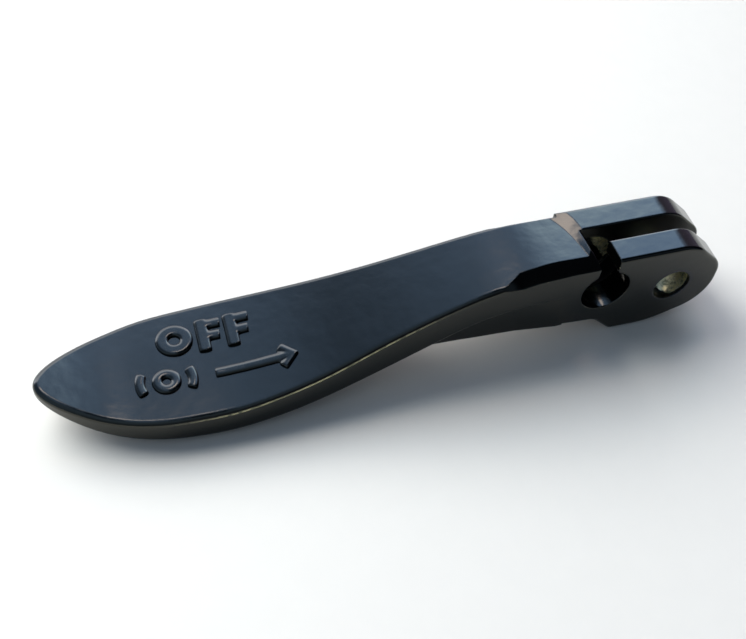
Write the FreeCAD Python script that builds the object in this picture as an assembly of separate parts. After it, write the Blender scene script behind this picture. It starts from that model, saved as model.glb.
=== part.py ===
import FreeCAD, Part

import math
import os

# Hand lever of a parking brake: one casting with a fork at one end, and a liner in each ear of
# the fork. The origin is on the pivot axis, midway between the ears. +Y is along the pivot axis,
# +X is the way the ears point, -X is the way to the tip, and the marked face looks up, +Z.
# Lengths are in millimetres. "Back" means behind the pivot axis, towards the tip. "Near" is the
# -Y side, where the cable seat opens.

# ---- Pivot: the pin that the lever swings on, and the liners pressed into the ears
PIN_DIAMETER = 6.0
PIN_CLEARANCE = 0.05
LINER_WALL = 0.6

# ---- Cable seat: the round seat in the near ear, the throat that leads down to it, a little
# ---- behind the seat's centre, and the shallow spot that the seat's tool leaves in the far ear
BARREL_DIAMETER = 7.9
BARREL_CLEARANCE = 0.05
SEAT_BACK = 12.0
SEAT_HEIGHT = 2.0
THROAT_WIDTH = 3.1
THROAT_OFFSET = 0.5
THROAT_LIP_ROUND = 0.7
SEAT_RELIEF = 0.2
SEAT_SPOT_DEPTH = 0.35

# ---- Fork: two ears with a slot between them
EAR_THICKNESS = 4.4
SLOT_WIDTH = 3.0
EAR_OUTER_ROUND = 0.6
EAR_INNER_ROUND = 0.3

# ---- Outline of the ears seen from the side: where each corner is, and its rounding
EAR_TOP = 8.4
BROW_REACH = 2.2
BROW_ROUND = 6.3
EAR_REACH = 8.05
NOSE_HEIGHT = 2.8
NOSE_ROUND = 3.8
CHIN_HEIGHT = -4.95
CHIN_ROUND = 6.8
BELLY_BACK = 2.0
BELLY_HEIGHT = -8.5
BELLY_ROUND = 14.0
HEEL_BACK = 8.8
HEEL_HEIGHT = -8.3
HEEL_ROUND = 1.2
STEP_BACK = 12.2
STEP_HEIGHT = -5.1
STEP_ROUND = 2.5
FORK_BACK = 18.9
FORK_REAR_HEIGHT = -4.55

# ---- Ramp from the neck up to the top of the ears: how far its head and its foot are behind the
# ---- end of the slot, at even steps across the fork from the near side to the far side, and the
# ---- rounding of its crest, which starts a drop below the ears
RAMP_STEPS = [(0.0, 0.7), (0.0, 1.2), (0.0, 1.75), (0.25, 2.7), (1.35, 4.3)]
CREST_ROUND = 0.9
CREST_DROP = 0.1

# ---- Blade: (width, height of the top face, thickness) at even steps from inside the fork to the
# ---- tip, the last step being the tip itself
BLADE_BACK = 12.0
BLADE_STATIONS = [
    (11.5, 7.95, 5.85),
    (11.74, 7.95, 5.95),
    (11.98, 7.9, 5.95),
    (12.15, 7.5, 5.95),
    (12.5, 6.55, 6.1),
    (13.25, 5.15, 6.4),
    (14.25, 3.6, 6.65),
    (15.6, 1.95, 6.45),
    (17.25, 0.3, 5.9),
    (18.7, -1.05, 5.5),
    (19.75, -2.05, 5.15),
    (20.3, -2.75, 4.8),
    (20.0, -3.0, 4.6),
    (19.0, -3.1, 4.1),
    (16.2, -2.95, 3.6),
    (11.3, -2.1, 2.95),
]
TIP_BACK = 96.8
TIP_TOP = -0.95
TIP_THICKNESS = 1.8
TOP_EDGE_ROUND = 0.75
LOWER_EDGE_ROUND = 0.5

# ---- Neck facets: (back, how far in from the side, how far down) along the near top edge, and
# ---- how far in and how far down the far facet goes beside the near one
FACET_STATIONS = [
    (31.5, 0.05, 0.05),
    (29.0, 0.7, 0.6),
    (26.5, 2.3, 1.1),
    (24.0, 2.5, 0.8),
    (18.0, 2.6, 0.7),
    (14.5, 2.45, 0.7),
]
FAR_FACET_IN_SHARE = 0.24
FAR_FACET_DOWN_SHARE = 1.0

# ---- Web: the rib under the neck, set in from the sides of the blade, and widening to meet the
# ---- sides of the fork
WEB_RECESS = 0.45
WEB_FLARE_LENGTH = 7.0
WEB_BEND_BACK = 31.8
WEB_BEND_HEIGHT = -3.35
WEB_BEND_ROUND = 30.0
WEB_BACK = 40.5

# ---- Derived sizes
FORK_WIDTH = SLOT_WIDTH + 2 * EAR_THICKNESS
LINER_BORE_RADIUS = PIN_DIAMETER / 2 + PIN_CLEARANCE
LINER_RADIUS = LINER_BORE_RADIUS + LINER_WALL
SEAT_RADIUS = BARREL_DIAMETER / 2 + BARREL_CLEARANCE
THROAT_BACK = SEAT_BACK + THROAT_OFFSET + THROAT_WIDTH / 2
THROAT_FRONT = THROAT_BACK - THROAT_WIDTH
BLADE_STEP = (TIP_BACK - BLADE_BACK) / len(BLADE_STATIONS)

# How far a cutting tool reaches past what it cuts, and how deep joined shapes run into each other
BEYOND = 5.0
LAP = 1.0
# Lengths closer than this are the same
SAME = 1e-6


def vector(x, y, z):
    return FreeCAD.Vector(x, y, z)


# ---------------------------------------------------------------- outlines and curves

def corner_rounding(last, corner, following, radius):
    """Reach of a corner's rounding along its sides, and the half angle between them."""
    to_last = (last - corner).normalize()
    to_next = (following - corner).normalize()
    half = math.acos(max(-1.0, min(1.0, to_last.dot(to_next)))) / 2
    return radius / math.tan(half), half


def rounded_outline(corners):
    """Closed wire in the plane y = 0 through (x, z, radius) corners, each rounded by an arc.

    Two roundings that would meet on the side between them both shrink to fit it.
    """
    points = [vector(x, 0, z) for x, z, radius in corners]
    count = len(points)
    reaches = []
    halves = []
    for i in range(count):
        reach, half = corner_rounding(points[i - 1], points[i], points[(i + 1) % count], corners[i][2])
        reaches.append(reach)
        halves.append(half)
    edges = []
    ends = []
    for i in range(count):
        reach = reaches[i]
        for other in (i - 1, (i + 1) % count):
            side = (points[other] - points[i]).Length
            wanted = reaches[i] + reaches[other]
            if wanted > side:
                reach = min(reach, reaches[i] * side / wanted)
        to_last = (points[i - 1] - points[i]).normalize()
        to_next = (points[(i + 1) % count] - points[i]).normalize()
        start = points[i] + to_last * reach
        end = points[i] + to_next * reach
        if reach > SAME:
            radius = reach * math.tan(halves[i])
            inward = (to_last + to_next).normalize()
            middle = points[i] + inward * (radius / math.sin(halves[i]) - radius)
            edges.append(Part.Arc(start, middle, end).toShape())
        ends.append((start, end))
    for i in range(count):
        start = ends[i][1]
        end = ends[(i + 1) % count][0]
        if (end - start).Length > SAME:
            edges.append(Part.LineSegment(start, end).toShape())
    return Part.Wire(Part.__sortEdges__(edges))


def prism_along_y(wire, width):
    """Solid with the outline of the wire, which is drawn at y = 0, centred across the lever."""
    face = Part.Face(wire)
    face.translate(vector(0, -width / 2, 0))
    return face.extrude(vector(0, width, 0))


def smooth_curve(points):
    """One smooth curve through the points."""
    curve = Part.BSplineCurve()
    curve.interpolate(points)
    return curve


def crossing(curve, back):
    """Point where a curve that runs towards the tip passes the given distance back."""
    low = curve.FirstParameter
    high = curve.LastParameter
    for step in range(50):
        middle = (low + high) / 2
        if -curve.value(middle).x < back:
            low = middle
        else:
            high = middle
    return curve.value(low)


def blade_stations():
    """(back, width, height of the top face, thickness) at every step before the tip."""
    return [(BLADE_BACK + i * BLADE_STEP, *sizes) for i, sizes in enumerate(BLADE_STATIONS)]


def rim_curve(inset=0.0):
    """Rim of the blade seen from above: along the far side, round the tip and back."""
    far = [vector(-back, width / 2 - inset, 0) for back, width, top, thickness in blade_stations()]
    near = [vector(point.x, -point.y, 0) for point in reversed(far)]
    return smooth_curve(far + [vector(inset - TIP_BACK, 0, 0)] + near)


def top_curve():
    """Middle of the blade's top face seen from the side, from the fork to the tip."""
    points = [vector(-back, 0, top) for back, width, top, thickness in blade_stations()]
    return smooth_curve(points + [vector(-TIP_BACK, 0, TIP_TOP)])


def lower_curve():
    """Underside of the blade seen from the side, from the fork to the tip."""
    points = [vector(-back, 0, top - thickness) for back, width, top, thickness in blade_stations()]
    return smooth_curve(points + [vector(-TIP_BACK, 0, TIP_TOP - TIP_THICKNESS)])


# ---------------------------------------------------------------- blade

def plan_column(inset):
    """Upright column with the blade's outline seen from above, narrowed by the inset all round."""
    rim = rim_curve(inset)
    root = Part.LineSegment(rim.EndPoint, rim.StartPoint)
    face = Part.Face(Part.Wire([rim.toShape(), root.toShape()]))
    face.translate(vector(0, 0, BELLY_HEIGHT - BEYOND))
    return face.extrude(vector(0, 0, EAR_TOP - BELLY_HEIGHT + 2 * BEYOND))


def edges_along(shape, curve):
    """Long edges of the shape that a curve seen from the side covers."""
    found = []
    for edge in shape.Edges:
        middle = edge.valueAt((edge.FirstParameter + edge.LastParameter) / 2)
        is_long = edge.BoundBox.XLength > TIP_BACK / 2
        if is_long and abs(crossing(curve, -middle.x).z - middle.z) < LOWER_EDGE_ROUND / 10:
            found.append(edge)
    return found


def blade():
    """The blade: its outline seen from above, cut to its side profile, with its edges rounded."""
    top = top_curve()
    lower = lower_curve()
    past_tip = vector(-BEYOND, 0, 0)
    profile = Part.Wire([
        top.toShape(),
        Part.LineSegment(top.EndPoint, top.EndPoint + past_tip).toShape(),
        Part.LineSegment(top.EndPoint + past_tip, lower.EndPoint + past_tip).toShape(),
        Part.LineSegment(lower.EndPoint + past_tip, lower.EndPoint).toShape(),
        lower.toShape(),
        Part.LineSegment(lower.StartPoint, top.StartPoint).toShape(),
    ])
    widest = max(width for width, top_height, thickness in BLADE_STATIONS)
    sharp = plan_column(0.0).common(prism_along_y(profile, widest + 2 * BEYOND))
    rounded = sharp.makeFillet(TOP_EDGE_ROUND, edges_along(sharp, top))
    return rounded.makeFillet(LOWER_EDGE_ROUND, edges_along(rounded, lower))


def web():
    """The rib under the neck, from inside the fork to where it runs out into the blade."""
    lower = lower_curve()
    run_out = crossing(lower, WEB_BACK)
    over_fork = crossing(lower, FORK_BACK)
    profile = rounded_outline([
        (-STEP_BACK, SEAT_HEIGHT, 0),
        (-STEP_BACK, STEP_HEIGHT + LAP, 0),
        (-FORK_BACK, FORK_REAR_HEIGHT, 0),
        (-WEB_BEND_BACK, WEB_BEND_HEIGHT, WEB_BEND_ROUND),
        (run_out.x, run_out.z, 0),
        (run_out.x, run_out.z + LAP, 0),
        (-FORK_BACK, over_fork.z + LAP, 0),
    ])
    plan = plan_column(WEB_RECESS).fuse(web_flare())
    return plan.common(prism_along_y(profile, FORK_WIDTH + 2 * BEYOND))


def web_flare():
    """Upright wedge that widens the web from its own width to the fork's."""
    start = FORK_BACK - LAP
    end = FORK_BACK + WEB_FLARE_LENGTH
    rim = rim_curve(WEB_RECESS)
    wide = FORK_WIDTH / 2 - SAME
    narrow = crossing(rim, end).y - SAME
    corners = [(start, wide), (FORK_BACK, wide), (end, narrow)]
    points = [vector(-back, y, BELLY_HEIGHT) for back, y in corners]
    points += [vector(-back, -y, BELLY_HEIGHT) for back, y in reversed(corners)]
    face = Part.Face(Part.makePolygon(points + points[:1]))
    return face.extrude(vector(0, 0, EAR_TOP - BELLY_HEIGHT))


def facet_wedge(side, front, in_share, down_share):
    """What a neck facet takes off one top edge, side being -1 or 1, as far forward as front.

    The shares scale how far in and how far down the facet goes.
    """
    rim = rim_curve()
    top = top_curve()
    stations = [station for station in FACET_STATIONS if station[0] > front]
    stations.append((front, stations[-1][1], stations[-1][2]))
    sections = []
    for back, full_inward, full_down in stations:
        inward = in_share * full_inward
        down = down_share * full_down
        rim_y = crossing(rim, back).y
        top_z = crossing(top, back).z
        slope = down / inward
        corners = [
            (rim_y + LAP, top_z - down - LAP * slope),
            (rim_y - inward - LAP, top_z + LAP * slope),
            (rim_y - inward - LAP, top_z + BEYOND),
            (rim_y + LAP, top_z + BEYOND),
        ]
        points = [vector(-back, side * y, z) for y, z in corners]
        sections.append(Part.makePolygon(points + points[:1]))
    return Part.makeLoft(sections, True, True)


# ---------------------------------------------------------------- fork

def ear_rims(body, y):
    """Edges of the ears' outline that lie at the given distance from the lever's mid plane."""
    rims = []
    for edge in body.Edges:
        box = edge.BoundBox
        at_side = box.YLength < SAME and abs(abs(box.YMin) - y) < SAME
        at_rear = box.XLength < SAME
        if at_side and not at_rear:
            rims.append(edge)
    return rims


def slotted_fork():
    """The two ears and the block behind the slot, with the ears' rims rounded, still unbored."""
    outline = rounded_outline([
        (-FORK_BACK, EAR_TOP, 0),
        (BROW_REACH, EAR_TOP, BROW_ROUND),
        (EAR_REACH, NOSE_HEIGHT, NOSE_ROUND),
        (EAR_REACH, CHIN_HEIGHT, CHIN_ROUND),
        (-BELLY_BACK, BELLY_HEIGHT, BELLY_ROUND),
        (-HEEL_BACK, HEEL_HEIGHT, HEEL_ROUND),
        (-STEP_BACK, STEP_HEIGHT, STEP_ROUND),
        (-FORK_BACK, FORK_REAR_HEIGHT, 0),
    ])
    block = prism_along_y(outline, FORK_WIDTH)
    block = block.makeFillet(EAR_OUTER_ROUND, ear_rims(block, FORK_WIDTH / 2)).cut(slot())
    return block.makeFillet(EAR_INNER_ROUND, ear_rims(block, SLOT_WIDTH / 2))


def ramp_cutter():
    """What lies over the ramp behind the crest, and so comes off the fork block."""
    top = top_curve()
    rear = -FORK_BACK - BEYOND
    width = FORK_WIDTH + 2 * SAME
    sections = []
    for i, (head_back, foot_back) in enumerate(RAMP_STEPS):
        y = width * (i / (len(RAMP_STEPS) - 1) - 0.5)
        head = -THROAT_BACK - head_back
        foot = crossing(top, THROAT_BACK + foot_back)
        sunk = foot.z - EAR_INNER_ROUND
        points = [
            vector(head, y, EAR_TOP),
            vector(foot.x, y, foot.z),
            vector(rear, y, sunk),
            vector(rear, y, EAR_TOP + BEYOND),
            vector(head, y, EAR_TOP + BEYOND),
        ]
        sections.append(Part.makePolygon(points + points[:1]))
    return Part.makeLoft(sections, True, False)


def crest_cutter():
    """What rounds the crest of the ramp over the end of the slot and throat."""
    wall = -THROAT_BACK
    height = EAR_TOP - CREST_DROP
    lean = CREST_ROUND * (1 - math.sqrt(0.5))
    foot = vector(wall, 0, height - CREST_ROUND)
    head = vector(wall - CREST_ROUND, 0, height)
    above = vector(0, 0, BEYOND)
    outline = Part.Wire([
        Part.Arc(foot, vector(wall - lean, 0, height - lean), head).toShape(),
        Part.LineSegment(head, head + above).toShape(),
        Part.LineSegment(head + above, foot + vector(LAP, 0, CREST_ROUND) + above).toShape(),
        Part.LineSegment(foot + vector(LAP, 0, CREST_ROUND) + above, foot + vector(LAP, 0, 0)).toShape(),
        Part.LineSegment(foot + vector(LAP, 0, 0), foot).toShape(),
    ])
    face = Part.Face(outline)
    start = -FORK_WIDTH / 2 - BEYOND
    face.translate(vector(0, start, 0))
    return face.extrude(vector(0, SLOT_WIDTH / 2 - start, 0))


def slot():
    """Gap between the ears, open at the front, the top and the bottom."""
    length = THROAT_BACK + EAR_REACH + BEYOND
    height = EAR_TOP - BELLY_HEIGHT + 2 * BEYOND
    corner = vector(-THROAT_BACK, -SLOT_WIDTH / 2, BELLY_HEIGHT - BEYOND)
    return Part.makeBox(length, SLOT_WIDTH, height, corner)


def seat_cylinder(radius, start, end):
    return Part.makeCylinder(
        radius, end - start, vector(-SEAT_BACK, start, SEAT_HEIGHT), vector(0, 1, 0))


def cable_seat():
    """Round seat and throat through the near ear, and the wider pocket past it, in the slot."""
    start = -FORK_WIDTH / 2 - BEYOND
    ear_face = -SLOT_WIDTH / 2
    throat_top = EAR_TOP + BEYOND
    throat = Part.makeBox(
        THROAT_WIDTH, ear_face - start, throat_top - SEAT_HEIGHT,
        vector(-THROAT_BACK, start, SEAT_HEIGHT))
    keyhole = seat_cylinder(SEAT_RADIUS, start, ear_face).fuse(throat).removeSplitter()
    lips = []
    for edge in keyhole.Edges:
        box = edge.BoundBox
        along_y = box.XLength < SAME and box.ZLength < SAME
        if along_y and SEAT_HEIGHT + SAME < box.ZMin < throat_top - SAME:
            lips.append(edge)
    pocket = seat_cylinder(SEAT_RADIUS + SEAT_RELIEF, ear_face, SLOT_WIDTH / 2 + SEAT_SPOT_DEPTH)
    return [keyhole.makeFillet(THROAT_LIP_ROUND, lips), pocket]


# ---------------------------------------------------------------- pieces

def pivot_cylinder(radius, start, length):
    return Part.makeCylinder(radius, length, vector(0, start, 0), vector(0, 1, 0))


def lever_casting():
    """Blade, web and fork in one, with the neck facets, slot, cable seat and pivot bore cut."""
    fork = slotted_fork().cut(ramp_cutter())
    body = blade().fuse([web(), fork]).removeSplitter()
    return body.cut([
        facet_wedge(-1, SEAT_BACK, 1.0, 1.0),
        facet_wedge(
            1, THROAT_BACK + sum(RAMP_STEPS[-1]) / 2, FAR_FACET_IN_SHARE, FAR_FACET_DOWN_SHARE),
        slot(),
        crest_cutter(),
        pivot_cylinder(LINER_RADIUS, -FORK_WIDTH, 2 * FORK_WIDTH),
        *cable_seat(),
    ]).removeSplitter()


def pivot_liner(start):
    """Plain sleeve in the ear that starts at the given y, flush with both faces of the ear."""
    sleeve = pivot_cylinder(LINER_RADIUS, start, EAR_THICKNESS)
    return sleeve.cut(pivot_cylinder(LINER_BORE_RADIUS, start, EAR_THICKNESS))


def main():
    os.makedirs("parts", exist_ok=True)
    lever_casting().exportStep("parts/lever_casting.step")
    pivot_liner(-FORK_WIDTH / 2).exportStep("parts/near_pivot_liner.step")
    pivot_liner(SLOT_WIDTH / 2).exportStep("parts/far_pivot_liner.step")


main()
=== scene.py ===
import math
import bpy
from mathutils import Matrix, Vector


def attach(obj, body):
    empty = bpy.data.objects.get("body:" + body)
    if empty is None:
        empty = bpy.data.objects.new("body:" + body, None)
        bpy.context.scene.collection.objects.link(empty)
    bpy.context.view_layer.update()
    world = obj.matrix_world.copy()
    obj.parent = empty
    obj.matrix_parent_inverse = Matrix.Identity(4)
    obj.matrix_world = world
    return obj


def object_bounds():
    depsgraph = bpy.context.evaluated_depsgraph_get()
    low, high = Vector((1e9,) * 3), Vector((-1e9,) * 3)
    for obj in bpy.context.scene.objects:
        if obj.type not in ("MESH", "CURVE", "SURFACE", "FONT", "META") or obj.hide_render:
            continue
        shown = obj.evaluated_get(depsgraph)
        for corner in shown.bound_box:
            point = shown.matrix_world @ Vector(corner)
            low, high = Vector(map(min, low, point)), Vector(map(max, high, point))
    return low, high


bl_info = {
    "name": "Parking Brake Lever",
    "version": (1, 0, 0),
    "blender": (4, 5, 0),
    "location": "View3D > Sidebar > Brake Lever",
    "description": "Finishes a cast brake lever, raises its markings and lights it",
    "category": "Object",
}

import bpy
from mathutils import Matrix, Vector
from mathutils.bvhtree import BVHTree

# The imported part, in metres. +X points to the fork, -X to the tip of the paddle, +Y to the far
# side, away from the cable seat's mouth, and +Z out of the marked face.
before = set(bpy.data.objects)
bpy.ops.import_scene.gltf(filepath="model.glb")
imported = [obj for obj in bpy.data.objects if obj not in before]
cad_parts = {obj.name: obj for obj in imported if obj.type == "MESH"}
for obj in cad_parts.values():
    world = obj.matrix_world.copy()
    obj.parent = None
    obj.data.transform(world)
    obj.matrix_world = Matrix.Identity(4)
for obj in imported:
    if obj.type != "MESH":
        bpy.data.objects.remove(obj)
CAD_BOX = [list(corner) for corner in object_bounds()]
CASTING = "lever_casting"
LINERS = ("near_pivot_liner", "far_pivot_liner")
ROOT = "root"

# Where the cable seat's axis is, which runs along Y, and how far each ear's two faces are off the
# middle of the lever
SEAT_X = -0.012
SEAT_Z = 0.002
EAR_INNER_FACE = 0.0015
EAR_OUTER_FACE = 0.0059


# ---------------------------------------------------------------- shader maths

class Signal:
    """One output of a node, with the maths operators that add Math nodes after it."""

    def __init__(self, finish, socket):
        self.finish = finish
        self.socket = socket

    def _math(self, operation, first, second=None):
        inputs = {0: first} if second is None else {0: first, 1: second}
        return self.finish.node("ShaderNodeMath", {"operation": operation}, inputs)

    def __add__(self, other):
        return self._math("ADD", self, other)

    def __radd__(self, other):
        return self._math("ADD", other, self)

    def __sub__(self, other):
        return self._math("SUBTRACT", self, other)

    def __rsub__(self, other):
        return self._math("SUBTRACT", other, self)

    def __mul__(self, other):
        return self._math("MULTIPLY", self, other)

    def __rmul__(self, other):
        return self._math("MULTIPLY", other, self)

    def __pow__(self, other):
        return self._math("POWER", self, other)

    def __abs__(self):
        return self._math("ABSOLUTE", self)


class Finish:
    """The node tree of one finish, ready for nodes."""

    def __init__(self, owner):
        owner.use_nodes = True
        self.tree = owner.node_tree
        self.tree.nodes.clear()

    def node(self, kind, settings=None, inputs=None, output=0):
        """Adds a node, sets it up, feeds its sockets and returns one of its outputs."""
        made = self.tree.nodes.new(kind)
        for name, value in (settings or {}).items():
            setattr(made, name, value)
        for name, value in (inputs or {}).items():
            if isinstance(value, Signal):
                self.tree.links.new(value.socket, made.inputs[name])
            else:
                made.inputs[name].default_value = value
        return Signal(self, made.outputs[output]) if made.outputs else None

    def place(self, scale=(1, 1, 1)):
        """Where a point is on the part, in metres, each way multiplied by the scale."""
        here = self.node("ShaderNodeTexCoord", output=3)
        return self.node("ShaderNodeVectorMath", {"operation": "MULTIPLY"}, {0: here, 1: scale})

    def axes(self, vector):
        """The x, y and z of a vector."""
        return [self.node("ShaderNodeSeparateXYZ", None, {0: vector}, output=i) for i in range(3)]

    def noise(self, size, detail=2.0, rough=0.5, stretch=(1, 1, 1)):
        """Cloudy pattern between 0 and 1 whose blobs are about the given size in metres."""
        inputs = {
            "Vector": self.place(stretch),
            "Scale": 1.0 / size,
            "Detail": detail,
            "Roughness": rough,
        }
        return self.node("ShaderNodeTexNoise", {"noise_dimensions": "3D"}, inputs)

    def mix(self, amount, low, high):
        """Colour between low and high, by an amount from 0 to 1."""
        inputs = {0: amount, 6: low, 7: high}
        return self.node("ShaderNodeMix", {"data_type": "RGBA"}, inputs, output=2)

    def ramp(self, amount, low, high):
        """0 up to low, 1 from high, and smooth between them."""
        inputs = {0: amount, 1: low, 2: high, 3: 0.0, 4: 1.0}
        return self.node("ShaderNodeMapRange", {"interpolation_type": "SMOOTHSTEP"}, inputs)

    def fall(self, amount, low, high):
        """1 up to low, 0 from high, and smooth between them."""
        return 1 - self.ramp(amount, low, high)

    def surface(self, **inputs):
        """Ends the tree in the main shader, with the sockets named in plain words."""
        named = {name.replace("_", " ").title().replace("Ior", "IOR"): value
                 for name, value in inputs.items()}
        shader = self.node("ShaderNodeBsdfPrincipled", None, named)
        self.node("ShaderNodeOutputMaterial", None, {"Surface": shader})


# ---------------------------------------------------------------- materials

# Every pair of numbers is where a soft change starts and where it is done.

# Bare casting metal and its stains
STAIN_SIZE = 0.0011
STAIN_LEVELS = (0.4, 0.62)
METAL_ROUGHNESS = 0.3
STAIN_ROUGHNESS = 0.2

# Clouds and ripples of the paint, and how much duller it is in the clouds and inside the slot
PAINT_CLOUD_SIZE = 0.018
LONG_RIPPLE_SIZE = 0.006
LONG_RIPPLE_SHARE = 2.5
CLOUD_ROUGHNESS = 0.05
SLOT_ROUGHNESS = 0.2

# The edges where a liner meets its ear stay sharp: how far off the pivot's axis that seam lies, on
# the casting's side and on the liner's
CASTING_SEAM = (0.0040, 0.0042)
LINER_SEAM = (0.0033, 0.0034)
BEVEL_SAMPLES = 8

# A painted reflection: a crescent of bare metal in the far ear, in the spot the seat's tool left,
# that stands in for a reflection there. How far off the seat's axis it ends, which way it leans and
# from how far out, how deep it goes, and how much its edge wanders
REFLECTION_SPOT_EDGE = (0.0038, 0.0042)
REFLECTION_SPOT_LEAN = (0.8, 0.6)
REFLECTION_SPOT_START = (0.0019, 0.0028)
REFLECTION_SPOT_DEPTH = 0.0006
REFLECTION_SPOT_WANDER = 0.0006
REFLECTION_SPOT_WANDER_SIZE = 0.0008
SOFT_END = 0.0001

# Chips on the edges: an edge is where the rounded normal leaves the flat one
EDGE_MATCH = (0.86, 0.94)
CHIP_SIZE = 0.0009
CHIP_LEVELS = (0.66, 0.69)

# The painted highlight line: bare metal on the blade's rolled near edge that stands in for the
# edge's highlight. How far up and how far to the near side it faces, how far out it lies, and where
# along the blade it fades in and out
HIGHLIGHT_LINE_FOOT = (0.03, 0.08)
HIGHLIGHT_LINE_TOP = (0.3, 0.42)
HIGHLIGHT_LINE_FACING_NEAR = (-0.9, -0.84)
HIGHLIGHT_LINE_EDGE = (-0.0066, -0.0063)
HIGHLIGHT_LINE_TIP_END = (-0.082, -0.066)
HIGHLIGHT_LINE_NECK_END = (-0.050, -0.036)

# The walls of the slot: they face along Y, lie near the middle and end at the neck
WALL_FACING = (0.9, 0.95)
SLOT_BACK = (-0.020, -0.018)
SLOT_SIDE = (EAR_INNER_FACE + 0.0001, EAR_INNER_FACE + 0.0002)

# Paint in the pivot bore: its shares of the overspray on the fork's side and, added to that, on the
# paddle's side, the soft width of its edge, how much that wanders, and what it covers further in
OVERSPRAY_LEAST = 0.4
OVERSPRAY_ADDED = 2.0
OVERSPRAY_SIDE = (-0.0010, 0.0021)
OVERSPRAY_WANDER = 0.0005
OVERSPRAY_WANDER_SIZE = 0.0015
BORE_INNER_END = (EAR_INNER_FACE + 0.0004, EAR_INNER_FACE + 0.0007)
FAR_SIDE = (0.0010, 0.0015)
BORE_PAINT_ROUGHNESS = 0.25

# Rings that the reamer has left, which are long round the bore and fine along it
RING_SIZE = 0.0002
RING_STRETCH = (0.12, 1.0, 0.12)
RING_HEIGHT = 0.00004
RING_BUMP = 0.6
RING_ROUGHNESS = 0.08

# The floor: its grain, the share of its colour that the darkest grain keeps, and how dull it is
GRAIN_SIZE = 0.004
GRAIN_SHADE = 0.97
FLOOR_ROUGHNESS = 0.9
FLOOR_GLOSS = 0.1


def hypotenuse(first, second):
    """How far off an axis a point is, from its two distances across it."""
    return (first ** 2 + second ** 2) ** 0.5


def bare_metal(finish, sizes):
    """Colour and roughness of the casting metal where no paint is."""
    stains = finish.ramp(finish.noise(STAIN_SIZE, detail=4.0, rough=0.6), *STAIN_LEVELS)
    colour = finish.mix(stains, tuple(sizes.bore_colour), tuple(sizes.bore_stain))
    return colour, METAL_ROUGHNESS + STAIN_ROUGHNESS * stains


def face_normals(finish, sizes, flat):
    """The face's own normal, the one that rounds its edges, and that one kept off where flat."""
    facing = finish.node("ShaderNodeNewGeometry", output=1)
    bevel = finish.node("ShaderNodeBevel", {"samples": BEVEL_SAMPLES},
                        {"Radius": sizes.edge_softness})
    soft_edges = finish.node("ShaderNodeMix", {"data_type": "VECTOR"},
                             {0: flat, 4: bevel, 5: facing}, output=1)
    return facing, bevel, soft_edges


def painted_reflection_spot(finish, x, y, z):
    """1 on the crescent of bare metal in the far ear, behind the cable seat: a painted reflection.
    """
    wander = REFLECTION_SPOT_WANDER * (finish.noise(REFLECTION_SPOT_WANDER_SIZE) - 0.5)
    across = hypotenuse(x - SEAT_X, z - SEAT_Z) + wander
    leaning = REFLECTION_SPOT_LEAN[0] * (x - SEAT_X) + REFLECTION_SPOT_LEAN[1] * (z - SEAT_Z) + wander
    bottom = EAR_INNER_FACE + REFLECTION_SPOT_DEPTH
    return (finish.fall(across, *REFLECTION_SPOT_EDGE) * finish.ramp(leaning, *REFLECTION_SPOT_START)
            * finish.ramp(y, EAR_INNER_FACE - SOFT_END, EAR_INNER_FACE)
            * finish.fall(y, bottom, bottom + SOFT_END))


def painted_highlight_line(finish, toward, up, x, y):
    """1 on the lower part of the blade's rolled near edge: a painted highlight line of bare metal.
    """
    return (finish.ramp(up, *HIGHLIGHT_LINE_FOOT) * finish.fall(up, *HIGHLIGHT_LINE_TOP)
            * finish.fall(toward, *HIGHLIGHT_LINE_FACING_NEAR) * finish.fall(y, *HIGHLIGHT_LINE_EDGE)
            * finish.ramp(x, *HIGHLIGHT_LINE_TIP_END) * finish.fall(x, *HIGHLIGHT_LINE_NECK_END))


def paint_finish(sizes):
    """Thick gloss black paint on a casting: soft ripples, rounded edges with a few small chips, a
    painted highlight line of bare metal on the near edge, dull walls in the slot and a painted
    reflection of bare metal in the far ear."""
    material = bpy.data.materials.new("gloss_black_paint")
    finish = Finish(material)
    clouds = finish.noise(PAINT_CLOUD_SIZE, detail=3.0)
    ripples = (finish.noise(sizes.peel_size, rough=0.4)
               + LONG_RIPPLE_SHARE * finish.noise(LONG_RIPPLE_SIZE, detail=1.0))
    x, y, z = finish.axes(finish.place())
    off_seam = finish.ramp(hypotenuse(x, z), *CASTING_SEAM)
    facing, bevel, soft_edges = face_normals(finish, sizes, 1 - off_seam)
    _, toward, up = finish.axes(facing)

    match = finish.node("ShaderNodeVectorMath", {"operation": "DOT_PRODUCT"},
                        {0: bevel, 1: facing}, output=1)
    chips = (finish.fall(match, *EDGE_MATCH) * off_seam
             * finish.ramp(finish.noise(CHIP_SIZE, detail=3.0, rough=0.6), *CHIP_LEVELS))
    highlight_line_mask = sizes.painted_highlight_share * painted_highlight_line(finish, toward, up, x, y)
    # Bare metal: the painted reflection in the far ear, real chips on the edges and the painted
    # highlight line on the near edge
    bare = 1 - (1 - painted_reflection_spot(finish, x, y, z)) * (1 - chips) * (1 - highlight_line_mask)

    in_slot = (finish.ramp(abs(toward), *WALL_FACING) * finish.ramp(x, *SLOT_BACK)
               * finish.fall(abs(y), *SLOT_SIDE))
    metal, metal_dullness = bare_metal(finish, sizes)
    paint = finish.mix(clouds, tuple(sizes.paint_colour), tuple(sizes.paint_shade))
    paint_dullness = sizes.paint_roughness + CLOUD_ROUGHNESS * clouds + SLOT_ROUGHNESS * in_slot
    normal = finish.node("ShaderNodeBump", None, {
        "Strength": 1.0,
        "Distance": sizes.peel_height,
        "Height": ripples,
        "Normal": soft_edges,
    })
    finish.surface(
        base_color=finish.mix(bare, paint, metal),
        metallic=bare,
        roughness=paint_dullness * (1 - bare) + metal_dullness * bare,
        specular_tint=tuple(sizes.gloss_tint),
        normal=normal,
        ior=1.5)
    return material


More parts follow.
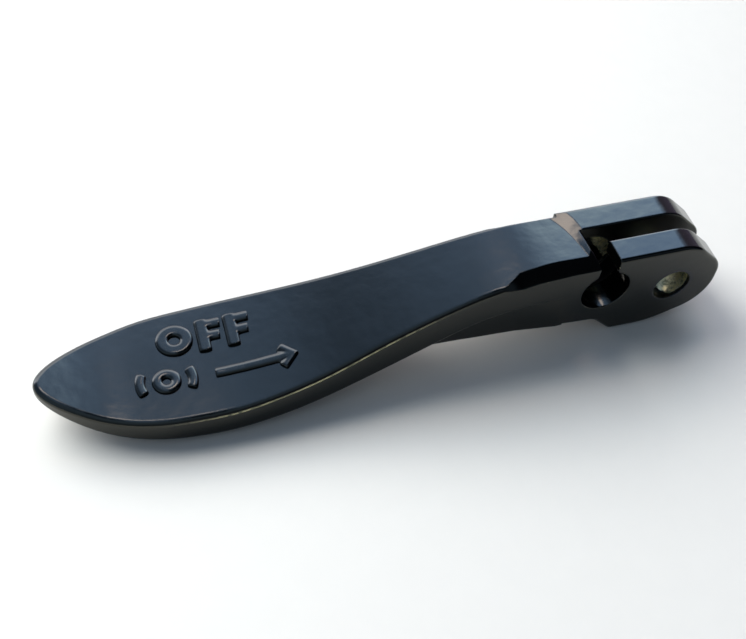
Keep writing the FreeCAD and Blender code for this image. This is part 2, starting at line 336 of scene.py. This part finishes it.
def bore_finish(sizes):
    """Bare reamed metal with fine rings and stains in the near liner. Paint covers its outer end,
    deepest on the paddle's side, a thin band at its inner end and the whole far liner."""
    material = bpy.data.materials.new("reamed_bore_metal")
    finish = Finish(material)
    rings = finish.noise(RING_SIZE, rough=0.6, stretch=RING_STRETCH)
    x, y, z = finish.axes(finish.place())
    off_middle = abs(y) + OVERSPRAY_WANDER * (finish.noise(OVERSPRAY_WANDER_SIZE) - 0.5)
    paddle_side = finish.ramp(-1 * x, *OVERSPRAY_SIDE)
    depth = sizes.overspray * (OVERSPRAY_LEAST + OVERSPRAY_ADDED * paddle_side)
    bare = (finish.fall(off_middle - (EAR_OUTER_FACE - depth), -SOFT_END, SOFT_END)
            * finish.ramp(off_middle, *BORE_INNER_END) * finish.fall(y, *FAR_SIDE))
    at_seam = finish.ramp(hypotenuse(x, z), *LINER_SEAM)
    soft_edges = face_normals(finish, sizes, at_seam)[2]
    metal, metal_dullness = bare_metal(finish, sizes)
    normal = finish.node("ShaderNodeBump", None, {
        "Strength": RING_BUMP,
        "Distance": RING_HEIGHT,
        "Height": rings * bare,
        "Normal": soft_edges,
    })
    metal_dullness = metal_dullness + RING_ROUGHNESS * rings
    finish.surface(
        base_color=finish.mix(bare, tuple(sizes.paint_colour), metal),
        metallic=bare,
        roughness=BORE_PAINT_ROUGHNESS * (1 - bare) + metal_dullness * bare,
        normal=normal)
    return material


def floor_finish(sizes):
    """Dull pale floor with a very faint grain."""
    material = bpy.data.materials.new("pale_floor")
    finish = Finish(material)
    grain = finish.noise(GRAIN_SIZE)
    shade = tuple(GRAIN_SHADE * part for part in sizes.floor_colour)
    colour = finish.mix(grain, tuple(sizes.floor_colour), shade)
    finish.surface(base_color=colour, roughness=FLOOR_ROUGHNESS, specular_ior_level=FLOOR_GLOSS)
    return material


# ---------------------------------------------------------------- shapes

# How high above the lever a ray starts that looks for the marked face
ABOVE = 0.1

# Raised strokes start as round bars, which are melted into one skin with this many voxels across a
# stroke and softened. Squareness 2 would leave their section round, and more makes it boxier.
VOXELS_ACROSS = 11
SOFTEN_FACTOR = 0.5
SOFTEN_ROUNDS = 8
SQUARENESS = 3

# An arc is this many straight steps, and a ring's last step closes it from this angle in degrees
ARC_STEPS = 24
RING_END = 352


def clear_selection():
    """Leaves nothing selected, in object mode."""
    if bpy.context.object and bpy.context.object.mode != "OBJECT":
        bpy.ops.object.mode_set(mode="OBJECT")
    bpy.ops.object.select_all(action="DESELECT")


def select_only(piece):
    """Leaves one piece selected and active."""
    clear_selection()
    piece.select_set(True)
    bpy.context.view_layer.objects.active = piece


def face_height(surface, x, y):
    """Height of the marked face over a point in plan."""
    hit = surface.ray_cast(Vector((x, y, ABOVE)), Vector((0, 0, -1)))
    return hit[0].z


def casting_surface():
    """The casting's CAD mesh, ready to be asked where a ray meets it."""
    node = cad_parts[CASTING]
    points = [corner.co.copy() for corner in node.data.vertices]
    faces = [tuple(face.vertices) for face in node.data.polygons]
    return BVHTree.FromPolygons(points, faces)


def stroke_mesh(name, strokes):
    """Round bars along flat strokes, running into one another.

    A stroke is its (x, y) points, its width and whether it is closed into a loop.
    """
    clear_selection()
    curve = bpy.data.curves.new(name, "CURVE")
    curve.dimensions = "3D"
    curve.bevel_depth = 1.0
    curve.bevel_resolution = 4
    curve.use_fill_caps = True
    for points, width, closed in strokes:
        line = curve.splines.new("POLY")
        line.points.add(len(points) - 1)
        for point, (x, y) in zip(line.points, points):
            point.co = (x, y, 0, 1)
            point.radius = width / 2
        line.use_cyclic_u = closed
    piece = bpy.data.objects.new(name, curve)
    bpy.context.scene.collection.objects.link(piece)
    select_only(piece)
    bpy.ops.object.convert(target="MESH")
    return piece


def arc(centre, radius, start, end):
    """Points along an arc, its angles in degrees."""
    angles = [math.radians(start + (end - start) * i / ARC_STEPS) for i in range(ARC_STEPS + 1)]
    return [(centre[0] + radius * math.cos(a), centre[1] + radius * math.sin(a)) for a in angles]


def ring(centre, radius, width):
    """A round closed stroke."""
    return arc(centre, radius, 0, RING_END), width, True


def bar(*points, width):
    """An open stroke through some points."""
    return list(points), width, False


def melt_and_seat(piece, sizes, seat):
    """Melts bars together, flattens them to their height and lays them on the marked face."""
    select_only(piece)
    remesh = piece.modifiers.new("melt", "REMESH")
    remesh.mode = "VOXEL"
    remesh.voxel_size = sizes.stroke_width / VOXELS_ACROSS
    bpy.ops.object.modifier_apply(modifier=remesh.name)
    soften = piece.modifiers.new("soften", "SMOOTH")
    soften.factor = SOFTEN_FACTOR
    soften.iterations = SOFTEN_ROUNDS
    bpy.ops.object.modifier_apply(modifier=soften.name)
    surface = casting_surface()
    turn = Matrix.Rotation(sizes.row_tilt, 2)
    for corner in piece.data.vertices:
        x, y = turn @ corner.co.xy + Vector(seat)
        rise = min(1, abs(corner.co.z) / (sizes.stroke_width / 2))
        rise = (1 - (1 - rise ** 2) ** (SQUARENESS / 2)) ** (1 / SQUARENESS)
        height = math.copysign(sizes.stroke_height * rise, corner.co.z)
        corner.co = (x, y, face_height(surface, x, y) + height)
    bpy.ops.object.shade_smooth()
    piece.data.materials.clear()
    piece.data.materials.append(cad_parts[CASTING].material_slots[0].material)
    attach(piece, ROOT)


# ---------------------------------------------------------------- what a user would change

class LeverSizes(bpy.types.PropertyGroup):
    paint_colour: bpy.props.FloatVectorProperty(
        name="Paint", description="Colour of the gloss paint",
        subtype="COLOR", size=4, min=0, max=1, default=(0.0004, 0.00045, 0.00035, 1))
    paint_shade: bpy.props.FloatVectorProperty(
        name="Paint, second shade", description="Colour the paint drifts to in soft clouds",
        subtype="COLOR", size=4, min=0, max=1, default=(0.0008, 0.0009, 0.0007, 1))
    paint_roughness: bpy.props.FloatProperty(
        name="Paint roughness", description="How dull the paint is, 0 being a mirror",
        subtype="FACTOR", min=0, max=1, default=0.11)
    gloss_tint: bpy.props.FloatVectorProperty(
        name="Gloss tint", description="Tint of what the paint mirrors",
        subtype="COLOR", size=4, min=0, max=1, default=(1.0, 1.0, 0.85, 1))
    peel_size: bpy.props.FloatProperty(
        name="Orange peel size", description="Size of the ripples in the paint",
        unit="LENGTH", min=0.0001, default=0.0016)
    peel_height: bpy.props.FloatProperty(
        name="Orange peel height", description="Height of the ripples in the paint",
        unit="LENGTH", min=0, default=0.00002)
    overspray: bpy.props.FloatProperty(
        name="Overspray", description="How far the paint has gone into the pivot bore",
        unit="LENGTH", min=0, default=0.0016)
    edge_softness: bpy.props.FloatProperty(
        name="Edge softness", description="How far the paint rounds the casting's edges",
        unit="LENGTH", min=0, default=0.0003)
    # A painted highlight: how strongly the bare-metal line on the blade's near edge shows, standing
    # in for its highlight
    painted_highlight_share: bpy.props.FloatProperty(
        name="Rubbed edge", description="How far the paint is rubbed off the blade's near edge",
        subtype="FACTOR", min=0, max=1, default=0.45)
    bore_colour: bpy.props.FloatVectorProperty(
        name="Bore metal", description="Colour of the bare metal in the pivot bore",
        subtype="COLOR", size=4, min=0, max=1, default=(0.86, 0.78, 0.44, 1))
    bore_stain: bpy.props.FloatVectorProperty(
        name="Bore stain", description="Colour of the duller patches in the bore",
        subtype="COLOR", size=4, min=0, max=1, default=(0.24, 0.24, 0.14, 1))


class MarkingSizes(bpy.types.PropertyGroup):
    stroke_width: bpy.props.FloatProperty(
        name="Stroke width", description="Width of the arms and the ring of the letters",
        unit="LENGTH", min=0.0002, default=0.0017)
    stem_width: bpy.props.FloatProperty(
        name="Stem width", description="Width of the upright stems of the letters",
        unit="LENGTH", min=0.0002, default=0.002)
    symbol_stroke: bpy.props.FloatProperty(
        name="Symbol stroke", description="Width of the strokes of the symbol and arrow",
        unit="LENGTH", min=0.0002, default=0.0016)
    stroke_height: bpy.props.FloatProperty(
        name="Stroke height", description="How far the strokes stand above the face",
        unit="LENGTH", min=0.0001, default=0.0005)
    letter_height: bpy.props.FloatProperty(
        name="Letter height", description="Height of the letters",
        unit="LENGTH", min=0.001, default=0.0056)
    letter_width: bpy.props.FloatProperty(
        name="Letter width", description="Width of the letter F",
        unit="LENGTH", min=0.001, default=0.0038)
    letter_gap: bpy.props.FloatProperty(
        name="Letter gap", description="Space between letters",
        unit="LENGTH", min=0, default=0.0004)
    letter_seat: bpy.props.FloatVectorProperty(
        name="Word place", description="Middle of the word OFF, along and across the lever",
        subtype="TRANSLATION", unit="LENGTH", size=2, default=(-0.0720, 0.0040))
    symbol_height: bpy.props.FloatProperty(
        name="Symbol height", description="Height of the brake symbol",
        unit="LENGTH", min=0.001, default=0.0050)
    arrow_length: bpy.props.FloatProperty(
        name="Arrow length", description="Length of the arrow",
        unit="LENGTH", min=0.002, default=0.0130)
    symbol_seat: bpy.props.FloatVectorProperty(
        name="Symbol place", description="Middle of the symbol and arrow, along and across",
        subtype="TRANSLATION", unit="LENGTH", size=2, default=(-0.0714, -0.0030))
    row_tilt: bpy.props.FloatProperty(
        name="Row tilt", description="How far both rows are turned from the lever's length",
        subtype="ANGLE", default=math.radians(-2.8))


class StageSizes(bpy.types.PropertyGroup):
    floor_colour: bpy.props.FloatVectorProperty(
        name="Floor", description="Colour of the floor",
        subtype="COLOR", size=4, min=0, max=1, default=(0.64, 0.56, 0.45, 1))
    key_strength: bpy.props.FloatProperty(
        name="Key light", description="Power of the soft light that makes the floor pale, in watts",
        min=0, default=4.4)
    key_size: bpy.props.FloatProperty(
        name="Key size", description="Diameter of the soft light, which softens its shadow",
        unit="LENGTH", min=0.01, default=0.40)
    key_distance: bpy.props.FloatProperty(
        name="Key distance", description="How far the soft light is from the middle of the lever",
        unit="LENGTH", min=0.1, default=0.42)
    key_direction: bpy.props.FloatVectorProperty(
        name="Key direction", description="Where the soft light comes from",
        subtype="DIRECTION", size=3, default=(-0.50, 0.60, 0.62))
    key_colour: bpy.props.FloatVectorProperty(
        name="Key colour", description="Colour of the soft light",
        subtype="COLOR", size=3, min=0, max=1, default=(0.76, 0.87, 1.0))
    window_low: bpy.props.FloatProperty(
        name="Window, dim end", description="Brightness of the window at its dim end",
        min=0, default=0.57)
    window_high: bpy.props.FloatProperty(
        name="Window, bright end", description="Brightness of the window at its bright end",
        min=0, default=4.2)
    window_colour: bpy.props.FloatVectorProperty(
        name="Window colour", description="Colour of the window",
        subtype="COLOR", size=4, min=0, max=1, default=(0.37, 0.57, 0.98, 1))
    warm_colour: bpy.props.FloatVectorProperty(
        name="Warm strip", description="Colour of the warm strip above the window",
        subtype="COLOR", size=4, min=0, default=(9.0, 7.9, 8.1, 1))
    wall_colour: bpy.props.FloatVectorProperty(
        name="Wall", description="Colour of the pale wall on the far side",
        subtype="COLOR", size=4, min=0, default=(4.0, 4.3, 5.2, 1))
    wall_foot_colour: bpy.props.FloatVectorProperty(
        name="Wall foot", description="Colour of the foot of the far wall",
        subtype="COLOR", size=4, min=0, default=(2.0, 2.1, 2.5, 1))
    corner_colour: bpy.props.FloatVectorProperty(
        name="Window corner", description="Colour of the window's brightest corner",
        subtype="COLOR", size=4, min=0, default=(4.3, 5.6, 7.0, 1))
    beside_colour: bpy.props.FloatVectorProperty(
        name="Beside the window", description="Colour of the dim room past the window",
        subtype="COLOR", size=4, min=0, default=(0.28, 0.24, 0.36, 1))
    cloud_size: bpy.props.FloatProperty(
        name="Cloud size", description="Size of the soft patches in the window",
        min=0.01, default=0.16)
    glow_colour: bpy.props.FloatVectorProperty(
        name="Glow", description="Colour of the dim glow behind the camera",
        subtype="COLOR", size=4, min=0, default=(0.34, 0.48, 0.70, 1))
    glow_foot_colour: bpy.props.FloatVectorProperty(
        name="Glow foot", description="Colour of the foot of the glow behind the camera",
        subtype="COLOR", size=4, min=0, default=(0.16, 0.20, 0.26, 1))
    dark_colour: bpy.props.FloatVectorProperty(
        name="Dark side", description="Colour of the dark patch overhead",
        subtype="COLOR", size=4, min=0, max=1, default=(0.004, 0.004, 0.012, 1))
    lens: bpy.props.FloatProperty(
        name="Lens", description="Focal length of the camera, in millimetres",
        min=1, default=56.237)
    camera_place: bpy.props.FloatVectorProperty(
        name="Camera place", description="Where the camera is",
        subtype="TRANSLATION", unit="LENGTH", size=3, default=(-0.09275, -0.10005, 0.13329))
    camera_forward: bpy.props.FloatVectorProperty(
        name="Camera direction", description="Which way the camera looks",
        subtype="DIRECTION", size=3, default=(0.26253, 0.57492, -0.77495))
    camera_up: bpy.props.FloatVectorProperty(
        name="Camera up", description="Which way is up in the camera's view",
        subtype="DIRECTION", size=3, default=(0.18792, 0.75728, 0.62547))


# ---------------------------------------------------------------- operators

class LEVER_OT_paint_casting(bpy.types.Operator):
    """Gives the casting its gloss black paint"""
    bl_idname = "lever.paint_casting"
    bl_label = "Paint Casting"

    def execute(self, context):
        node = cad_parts[CASTING]
        node.material_slots[0].material = paint_finish(context.scene.lever_sizes)
        return {"FINISHED"}


class LEVER_OT_finish_liners(bpy.types.Operator):
    """Gives the two pivot liners their bare metal"""
    bl_idname = "lever.finish_liners"
    bl_label = "Finish Liners"

    def execute(self, context):
        material = bore_finish(context.scene.lever_sizes)
        for name in LINERS:
            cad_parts[name].material_slots[0].material = material
        return {"FINISHED"}


# How far the F's middle arm lies under its middle, in strokes, and its share of the letter's width
ARM_DROP = 0.1
ARM_SHARE = 0.92

# The symbol's ring and the arrow's barbs as shares of the symbol's half height, and how far the
# shoes at its sides lie outside the ring, in strokes
RING_SHARE = 0.8
BARB_SHARE = 1.1
SHOE_GAP = 1.5


class LEVER_OT_raise_word(bpy.types.Operator):
    """Raises the word OFF on the marked face"""
    bl_idname = "lever.raise_word"
    bl_label = "Raise Word"

    def execute(self, context):
        sizes = context.scene.marking_sizes
        tall = sizes.letter_height
        wide = sizes.letter_width
        thin = sizes.stroke_width
        thick = sizes.stem_width
        step = wide + sizes.letter_gap
        left = -(tall + 2 * step) / 2
        strokes = [ring((left + tall / 2, 0), (tall - thick) / 2, thick)]
        first = left + tall + sizes.letter_gap
        for start in (first, first + step):
            stem = start + thick / 2
            top_arm = tall / 2 - thin / 2
            low_arm = -ARM_DROP * thin
            strokes += [
                bar((stem, -tall / 2), (stem, tall / 2), width=thick),
                bar((stem, top_arm), (start + wide, top_arm), width=thin),
                bar((stem, low_arm), (start + ARM_SHARE * wide, low_arm), width=thin),
            ]
        melt_and_seat(stroke_mesh("off_marking", strokes), sizes, sizes.letter_seat)
        return {"FINISHED"}


class LEVER_OT_raise_symbol(bpy.types.Operator):
    """Raises the brake symbol and its arrow on the marked face"""
    bl_idname = "lever.raise_symbol"
    bl_label = "Raise Symbol"

    def execute(self, context):
        sizes = context.scene.marking_sizes
        thin = sizes.symbol_stroke
        half = (sizes.symbol_height - thin) / 2
        drum = RING_SHARE * half
        shoe = drum + SHOE_GAP * thin
        spread = math.degrees(math.asin(half / shoe))
        symbol = 2 * shoe + thin
        gap = thin
        left = -(symbol + gap + sizes.arrow_length) / 2
        middle = (left + symbol / 2, 0)
        tip = -left - thin / 2
        tail = tip + thin - sizes.arrow_length
        barb = tip - BARB_SHARE * half
        strokes = [
            ring(middle, drum, thin),
            bar(*arc(middle, shoe, 180 - spread, 180 + spread), width=thin),
            bar(*arc(middle, shoe, -spread, spread), width=thin),
            bar((tail, 0), (tip, 0), width=thin),
            bar((barb, half), (tip, 0), (barb, -half), width=thin),
        ]
        melt_and_seat(stroke_mesh("brake_marking", strokes), sizes, sizes.symbol_seat)
        return {"FINISHED"}


# The studio's patches, by the direction in which they lie from the lever: x towards the fork, y to
# the far side and z up. Every pair of numbers is where a change starts and where it is done.

# The window grows brighter along x in three steps, each with its share, and once more with y
WINDOW_STEPS = (
    (0.35, (-0.35, 0.0)),
    (0.08, (0.05, 0.15)),
    (0.57, (0.26, 0.46)),
)
WINDOW_BOOST = 1.3
WINDOW_BOOST_START = (0.56, 0.8)
CLOUD_LEAST = 0.75
CLOUD_ADDED = 0.5

# The window's foot lies further along y on the fork's side, and further still past the fork
FORK_SIDE = (-0.03, 0.02)
FORK_SIDE_SHIFT = 0.2
PAST_FORK = (0.12, 0.2)
WINDOW_FOOT = (-0.2, 0.1)
WINDOW_FOOT_PAST_FORK = (0.26, 0.5)
WINDOW_HORIZON = (0.3, 0.5)

# The dark patch overhead, and the glow behind the camera that it leaves free
DARK_START = (-0.42, -0.28)
DARK_RIGHT = (-0.05, 0.2)
DARK_RIGHT_SHARE = 0.7
GLOW_TOP = (-0.95, -0.5)

# The dim room beside the window, the window's brightest corner, and the far wall with its foot
BESIDE_Y = (0.2, 0.4)
BESIDE_X = (0.54, 0.66)
CORNER_Y = (0.52, 0.62)
CORNER_X = (0.3, 0.45)
WALL_Y = (0.66, 0.73)
WALL_FOOT_Y = (0.8, 0.95)
FAR_SIDE_END = (0.5, 0.7)

# The warm strip, whose far edge slants
STRIP_Y = (0.38, 0.42)
STRIP_SLANT = 0.3
STRIP_FAR_EDGE = (0.455, 0.49)
STRIP_X = (0.01, 0.05)
STRIP_END_X = (0.19, 0.26)

# The floor's side, the width of the camera's sensor in millimetres, and the nearest it sees
FLOOR_SPAN = 6.0
SENSOR_WIDTH = 36.0
NEAREST = 0.005


def window_light(sky, sizes, x, y):
    """Colour of the window, brighter towards the fork and clouded."""
    along = sum(share * sky.ramp(x, *reach) for share, reach in WINDOW_STEPS)
    brightness = sizes.window_low + (sizes.window_high - sizes.window_low) * along
    brightness = brightness * (1 + WINDOW_BOOST * sky.ramp(y, *WINDOW_BOOST_START))
    clouds = CLOUD_LEAST + CLOUD_ADDED * sky.noise(sizes.cloud_size)
    return sky.node("ShaderNodeVectorMath", {"operation": "SCALE"},
                    {0: tuple(sizes.window_colour)[:3], "Scale": brightness * clouds})


def paint_sky(scene, sizes):
    """A bluish window over the far side and the paddle, a warm strip, a pale far wall, a dim glow
    behind the camera and a dark patch overhead."""
    world = bpy.data.worlds.new("studio")
    scene.world = world
    sky = Finish(world)
    x, y, z = sky.axes(sky.node("ShaderNodeTexCoord", output=3))
    fork_side = sky.ramp(x, *FORK_SIDE)
    past_fork = sky.ramp(x, *PAST_FORK)
    window = (1 - past_fork) * sky.ramp(y - FORK_SIDE_SHIFT * fork_side, *WINDOW_FOOT)
    window = window + past_fork * sky.ramp(y, *WINDOW_FOOT_PAST_FORK)
    window = window * sky.ramp(z, *WINDOW_HORIZON)
    dark = 1 - ((1 - fork_side * sky.ramp(y, *DARK_START))
                * (1 - DARK_RIGHT_SHARE * sky.ramp(x, *DARK_RIGHT)))
    beside = sky.ramp(y, *BESIDE_Y) * sky.ramp(x, *BESIDE_X)
    near_end = sky.fall(x, *FAR_SIDE_END)
    corner = sky.ramp(y, *CORNER_Y) * sky.ramp(x, *CORNER_X) * near_end
    wall = sky.ramp(y, *WALL_Y) * near_end
    wall_light = sky.mix(sky.ramp(y, *WALL_FOOT_Y), tuple(sizes.wall_colour),
                         tuple(sizes.wall_foot_colour))
    strip = (sky.ramp(y, *STRIP_Y) * sky.fall(y - STRIP_SLANT * x, *STRIP_FAR_EDGE)
             * sky.ramp(x, *STRIP_X) * sky.fall(x, *STRIP_END_X))
    glow = sky.mix(sky.ramp(y, *GLOW_TOP), tuple(sizes.glow_foot_colour),
                   tuple(sizes.glow_colour))

    colour = sky.mix(dark, glow, tuple(sizes.dark_colour))
    colour = sky.mix(window, colour, window_light(sky, sizes, x, y))
    colour = sky.mix(beside, colour, tuple(sizes.beside_colour))
    colour = sky.mix(corner, colour, tuple(sizes.corner_colour))
    colour = sky.mix(wall, colour, wall_light)
    colour = sky.mix(strip, colour, tuple(sizes.warm_colour))
    light = sky.node("ShaderNodeBackground", None, {"Color": colour, "Strength": 1.0})
    sky.node("ShaderNodeOutputWorld", None, {"Surface": light})


def hang_key(scene, sizes):
    """A soft round lamp that makes the floor pale, and that the paint doesn't mirror."""
    data = bpy.data.lights.new("key", "AREA")
    data.shape = "DISK"
    data.size = sizes.key_size
    data.energy = sizes.key_strength
    data.color = sizes.key_colour
    key = bpy.data.objects.new("key", data)
    middle = Vector(CAD_BOX[0]).lerp(Vector(CAD_BOX[1]), 0.5)
    direction = Vector(sizes.key_direction).normalized()
    key.location = middle + sizes.key_distance * direction
    key.rotation_euler = direction.to_track_quat("Z", "Y").to_euler()
    key.visible_glossy = False
    scene.collection.objects.link(key)


def place_camera(scene, sizes):
    """A camera from its place, its direction and its way up."""
    data = bpy.data.cameras.new("camera")
    data.lens = sizes.lens
    data.sensor_width = SENSOR_WIDTH
    data.clip_start = NEAREST
    camera = bpy.data.objects.new("camera", data)
    scene.collection.objects.link(camera)
    back = -Vector(sizes.camera_forward).normalized()
    right = Vector(sizes.camera_up).cross(back).normalized()
    turn = Matrix((right, back.cross(right), back)).transposed().to_4x4()
    camera.matrix_world = Matrix.Translation(sizes.camera_place) @ turn
    scene.camera = camera


class LEVER_OT_set_stage(bpy.types.Operator):
    """Lays the floor and sets the lights and the camera"""
    bl_idname = "lever.set_stage"
    bl_label = "Set Stage"

    def execute(self, context):
        sizes = context.scene.stage_sizes
        clear_selection()
        bpy.ops.mesh.primitive_plane_add(size=FLOOR_SPAN, location=(0, 0, CAD_BOX[0][2]))
        floor = context.object
        floor.name = "floor"
        floor.data.materials.append(floor_finish(sizes))
        paint_sky(context.scene, sizes)
        hang_key(context.scene, sizes)
        place_camera(context.scene, sizes)
        context.scene.view_settings.view_transform = "Standard"
        return {"FINISHED"}


class LEVER_PT_panel(bpy.types.Panel):
    bl_idname = "LEVER_PT_panel"
    bl_label = "Parking Brake Lever"
    bl_space_type = "VIEW_3D"
    bl_region_type = "UI"
    bl_category = "Brake Lever"

    def draw(self, context):
        layout = self.layout
        for sizes in (context.scene.lever_sizes, context.scene.marking_sizes,
                      context.scene.stage_sizes):
            box = layout.box()
            for name in sizes.bl_rna.properties.keys():
                if name not in ("rna_type", "name"):
                    box.prop(sizes, name)
        for operator in OPERATORS:
            layout.operator(operator.bl_idname)


OPERATORS = (
    LEVER_OT_paint_casting,
    LEVER_OT_finish_liners,
    LEVER_OT_raise_word,
    LEVER_OT_raise_symbol,
    LEVER_OT_set_stage,
)
CLASSES = (LeverSizes, MarkingSizes, StageSizes, *OPERATORS, LEVER_PT_panel)


def register():
    for made in CLASSES:
        bpy.utils.register_class(made)
    bpy.types.Scene.lever_sizes = bpy.props.PointerProperty(type=LeverSizes)
    bpy.types.Scene.marking_sizes = bpy.props.PointerProperty(type=MarkingSizes)
    bpy.types.Scene.stage_sizes = bpy.props.PointerProperty(type=StageSizes)


def unregister():
    del bpy.types.Scene.stage_sizes
    del bpy.types.Scene.marking_sizes
    del bpy.types.Scene.lever_sizes
    for made in reversed(CLASSES):
        bpy.utils.unregister_class(made)


def main():
    register()
    bpy.ops.lever.paint_casting()
    bpy.ops.lever.finish_liners()
    bpy.ops.lever.raise_word()
    bpy.ops.lever.raise_symbol()
    bpy.ops.lever.set_stage()


if __name__ == "__main__":
    main()
